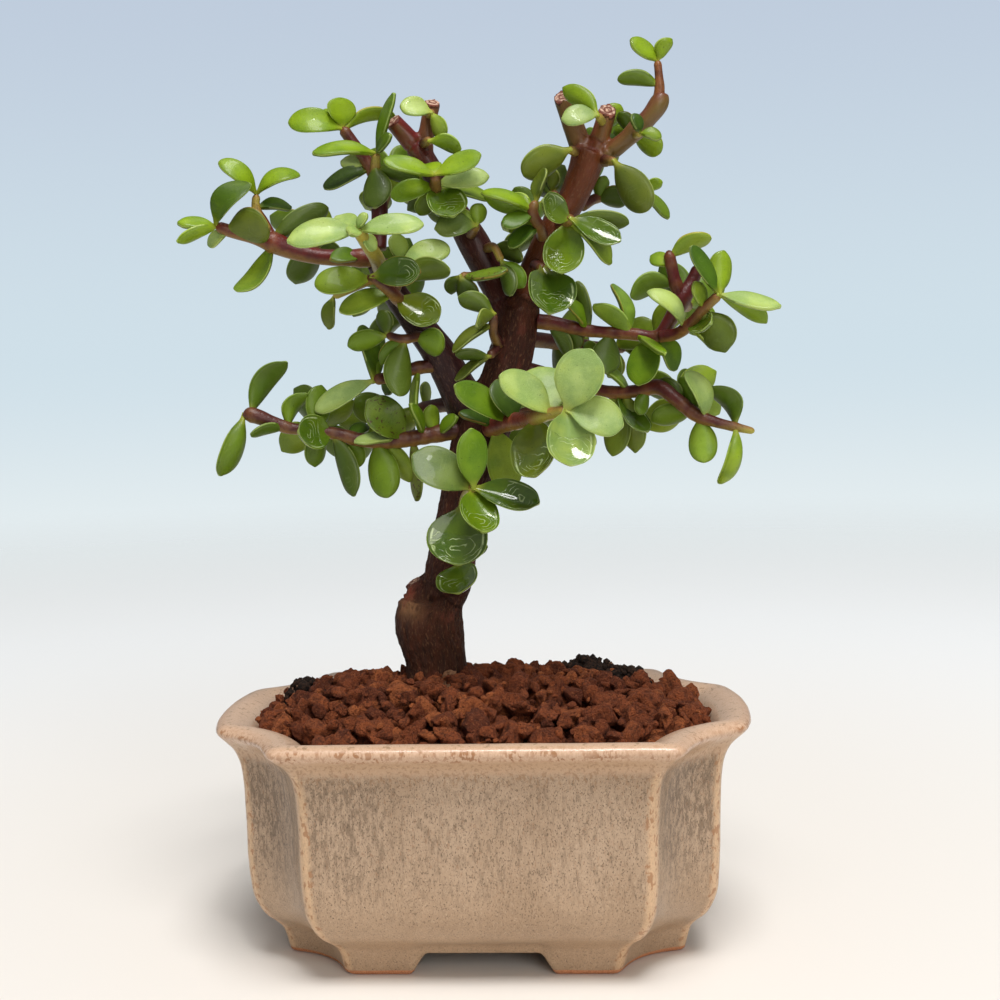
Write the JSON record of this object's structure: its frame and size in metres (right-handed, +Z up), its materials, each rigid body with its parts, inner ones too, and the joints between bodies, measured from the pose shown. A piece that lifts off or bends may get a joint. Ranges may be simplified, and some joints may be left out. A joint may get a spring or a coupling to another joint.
{
  "type": "dwarf jade bonsai",
  "caption": "Small succulent bonsai with a leaning woody trunk and fleshy leaves, in a glazed ceramic pot with cut corners, filled with clay granules.",
  "frame": {"origin": "centre of the bounding box, on the surface that the pot stands on", "axes": "+Z up, +X to the right along the pot's long side, -Y toward the front"},
  "size_m": [0.1318, 0.0884, 0.2054],
  "materials": {
    "glaze": "satin glaze with dark and rusty specks",
    "mesh": "matte",
    "compost": "damp and crumbly",
    "granules": "rough fired clay",
    "bark": "fissured bark",
    "leaf": "glossy fleshy leaf on a red-brown twig"
  },
  "bodies": {
    "root": {"pot": "glaze", "drain_mesh_left": "mesh", "drain_mesh_right": "mesh", "compost": "compost", "granules": "granules", "trunk": "bark", "back_crown_high_spray": "leaf", "back_crown_spray": "leaf", "back_inner_spray": "leaf", "back_left_low_spray": "leaf", "back_left_spray": "leaf", "back_right_spray": "leaf", "back_trunk_spray": "leaf", "brown_stub_leaves": "leaf", "centre_dark_leaves": "leaf", "centre_spray": "leaf", "crown_back_leaves": "leaf", "crown_left_leaf": "leaf", "crown_limb_left_shoot": "leaf", "crown_limb_low_leaf": "leaf", "crown_limb_right_shoot": "leaf", "crown_limb_rosette": "leaf", "crown_middle_leaves": "leaf", "crown_right_back_shoot": "leaf", "crown_right_leaf": "leaf", "crown_right_shoot": "leaf", "crown_tip_shoot": "leaf", "inner_fork_leaves": "leaf", "inner_limb_leaves": "leaf", "inner_rosette": "leaf", "inner_twig": "leaf", "left_front_rosette": "leaf", "left_limb_twig": "leaf", "left_long_branch": "leaf", "left_low_spray": "leaf", "left_middle_spray": "leaf", "left_upper_branch": "leaf", "red_stub_leaves": "leaf", "right_front_rosette": "leaf", "right_lower_branch": "leaf", "right_upper_branch": "leaf", "trunk_front_shoot": "leaf", "trunk_low_leaf": "leaf", "upper_left_shoot": "leaf"}
  },
  "joints": []
}
